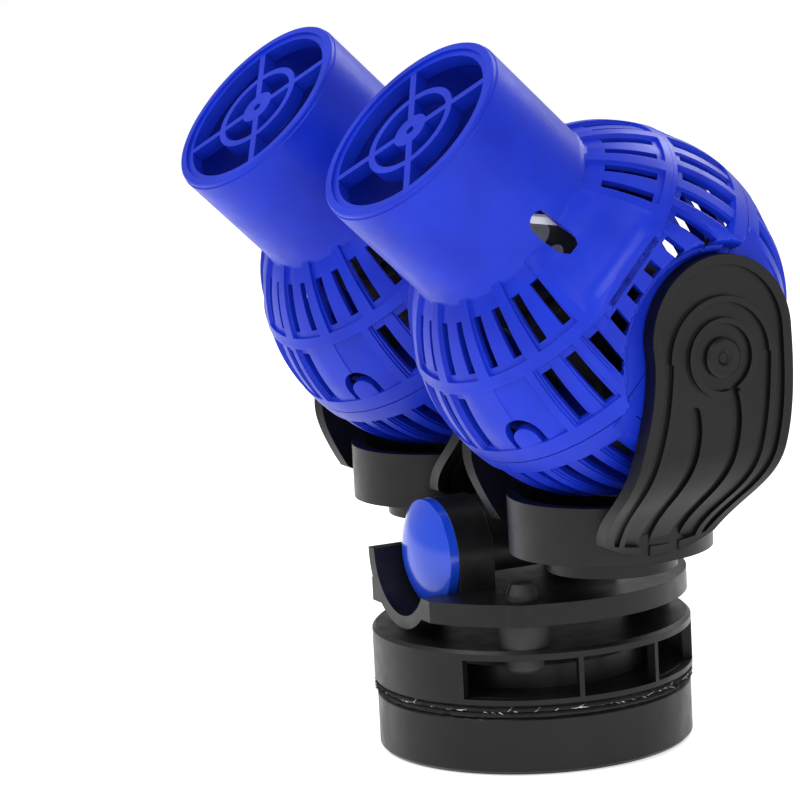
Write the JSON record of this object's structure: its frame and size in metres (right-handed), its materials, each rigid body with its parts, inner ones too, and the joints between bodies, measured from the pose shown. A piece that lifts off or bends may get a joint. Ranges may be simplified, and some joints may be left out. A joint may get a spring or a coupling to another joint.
{
  "type": "twin-head aquarium wave maker pump",
  "caption": "Aquarium wave maker with tilting, swivelling pump heads in slotted blue cages on a cross arm, held by a magnetic glass mount.",
  "frame": {"origin": "centre of the outer magnet case's flat underside, where the pump stands", "axes": "+Z out of the glass, away from the outer magnet; +X from the left head to the right head; the nozzles point towards -Y and up at rest"},
  "size_m": [0.1406, 0.0923, 0.1482],
  "materials": {
    "black_plastic": "fine-grained satin moulding",
    "grip_pad": "fuzzy hook-and-loop style felt",
    "magnet": "sintered ferrite",
    "black_rubber": "matte rubber",
    "steel": "stainless",
    "blue_gloss": "smooth glossy moulding",
    "blue_plastic": "satin royal blue moulding",
    "white_plastic": "smooth white moulding",
    "copper": "enamelled copper winding",
    "ceramic": null
  },
  "bodies": {
    "outer_half": {"outer_magnet_case": "black_plastic", "outer_case_cover": "black_plastic", "outer_magnet": "magnet", "outer_grip_pad": "grip_pad"},
    "inner_half": {"inner_grip_pad": "grip_pad", "inner_magnet_case": "black_plastic", "inner_case_cover": "black_plastic", "inner_magnet": "magnet", "right_damper_post": "black_rubber", "rear_damper_post": "black_rubber", "left_damper_post": "black_rubber", "saddle_plate": "black_plastic", "pivot_pin": "steel", "pivot_pin_clip": "steel", "pivot_cap": "blue_gloss"},
    "cross_arm_body": {"cross_arm": "black_plastic", "right_swivel_washer": "steel", "right_swivel_screw": "steel", "left_swivel_washer": "steel", "left_swivel_screw": "steel"},
    "right_yoke_body": {"right_yoke": "black_plastic", "right_outer_pivot_button": "black_plastic", "right_inner_pivot_button": "black_plastic"},
    "right_head": {"right_front_cage": "blue_plastic", "right_rear_cage": "blue_plastic", "right_outlet_grille": "blue_plastic", "right_motor_housing": "black_plastic", "right_motor_end_cap": "black_plastic", "right_stator_core": "steel", "right_rear_coil": "copper", "right_front_coil": "copper", "right_rotor_cover": "black_plastic", "right_front_bearing": "ceramic", "right_rear_bearing": "ceramic", "right_cable_gland": "black_rubber"},
    "right_rotor": {"right_impeller": "white_plastic", "right_rotor_shaft": "ceramic", "right_rotor_magnet": "magnet"},
    "left_yoke_body": {"left_yoke": "black_plastic", "left_outer_pivot_button": "black_plastic", "left_inner_pivot_button": "black_plastic"},
    "left_head": {"left_front_cage": "blue_plastic", "left_rear_cage": "blue_plastic", "left_outlet_grille": "blue_plastic", "left_motor_housing": "black_plastic", "left_motor_end_cap": "black_plastic", "left_stator_core": "steel", "left_rear_coil": "copper", "left_front_coil": "copper", "left_rotor_cover": "black_plastic", "left_front_bearing": "ceramic", "left_rear_bearing": "ceramic", "left_cable_gland": "black_rubber"},
    "left_rotor": {"left_impeller": "white_plastic", "left_rotor_shaft": "ceramic", "left_rotor_magnet": "magnet"}
  },
  "joints": [
    {"name": "glass_release", "type": "slide", "parent": "outer_half", "child": "inner_half", "axis": [0, 0, 1], "range_m": [0, 0.03]},
    {"name": "arm_rock", "type": "hinge", "parent": "inner_half", "child": "cross_arm_body", "pos_m": [0, 0, 0.0415], "axis": [0, 1, 0], "range_deg": [-8, 8]},
    {"name": "right_swivel", "type": "hinge", "parent": "cross_arm_body", "child": "right_yoke_body", "pos_m": [0.0368, 0, 0.0462], "axis": [0, 0, 1], "range_deg": [-15, 150]},
    {"name": "right_tilt", "type": "hinge", "parent": "right_yoke_body", "child": "right_head", "pos_m": [0.03623, 0.00658, 0.0865], "axis": [0.9962, 0.0872, 0], "range_deg": [-75, 10]},
    {"name": "right_rotor_spin", "type": "hinge", "parent": "right_head", "child": "right_rotor", "pos_m": [0.03623, 0.00658, 0.0865], "axis": [0.0627, -0.7166, 0.6947], "continuous": true},
    {"name": "left_swivel", "type": "hinge", "parent": "cross_arm_body", "child": "left_yoke_body", "pos_m": [-0.0368, 0, 0.0462], "axis": [0, 0, 1], "range_deg": [-160, 5]},
    {"name": "left_tilt", "type": "hinge", "parent": "left_yoke_body", "child": "left_head", "pos_m": [-0.03737, 0.00658, 0.0865], "axis": [0.9962, 0.0872, 0], "range_deg": [-75, 10]},
    {"name": "left_rotor_spin", "type": "hinge", "parent": "left_head", "child": "left_rotor", "pos_m": [-0.03737, 0.00658, 0.0865], "axis": [0.0627, -0.7166, 0.6947], "continuous": true}
  ]
}
